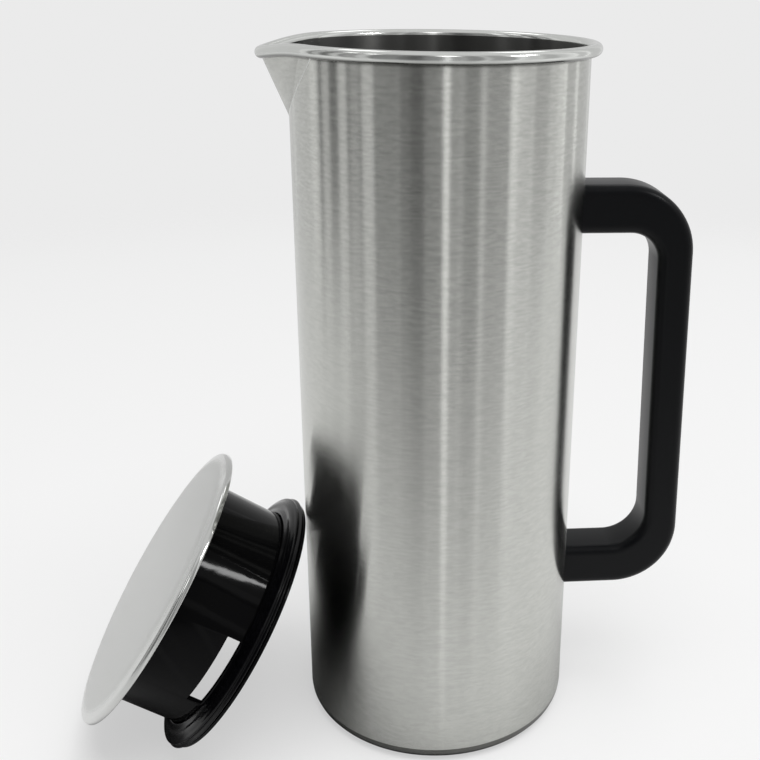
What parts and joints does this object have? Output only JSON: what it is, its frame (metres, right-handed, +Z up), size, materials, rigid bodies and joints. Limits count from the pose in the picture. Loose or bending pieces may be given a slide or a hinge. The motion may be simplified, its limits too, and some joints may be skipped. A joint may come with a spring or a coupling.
{
  "type": "water jug with lid",
  "caption": "Tall round steel water jug with a folded spout, a black loop handle and a separate plug lid leaning against its wall.",
  "frame": {"origin": "centre of the jug's flat base, on the surface that it stands on", "axes": "+Z up along the jug, +X towards the handle, -X towards the spout; the lid leans beside the spout"},
  "size_m": [0.2263, 0.122, 0.2512],
  "materials": {
    "brushed_steel": "fine brushing round the body, satin",
    "polished_steel": "polished",
    "cap_steel": "satin face, polished edge",
    "plain_steel": "plain mill finish",
    "handle_plastic": "satin black moulding",
    "lid_plastic": "glossy black moulding",
    "seal_rubber": "black silicone, slight sheen"
  },
  "bodies": {
    "jug": {"vessel_wall": "brushed_steel", "base_pan": "plain_steel", "pour_spout": "brushed_steel", "rim_bead": "polished_steel", "handle_grip": "handle_plastic", "upper_bracket": "plain_steel", "lower_bracket": "plain_steel", "upper_screw": "plain_steel", "lower_screw": "plain_steel"},
    "lid_seal": {"seal_ring": "seal_rubber"},
    "lid": {"lid_cap": "cap_steel", "lid_plate": "lid_plastic", "lid_neck": "lid_plastic"}
  },
  "joints": [
    {"name": "lid_lift", "type": "slide", "parent": "jug", "child": "lid_seal", "axis": [-0.833, -0.0553, 0.5505], "range_m": [0, 0.035]},
    {"name": "lid_turn", "type": "hinge", "parent": "lid_seal", "child": "lid", "pos_m": [-0.07572, -0.01417, 0.04024], "axis": [-0.833, -0.0553, 0.5505], "continuous": true}
  ]
}
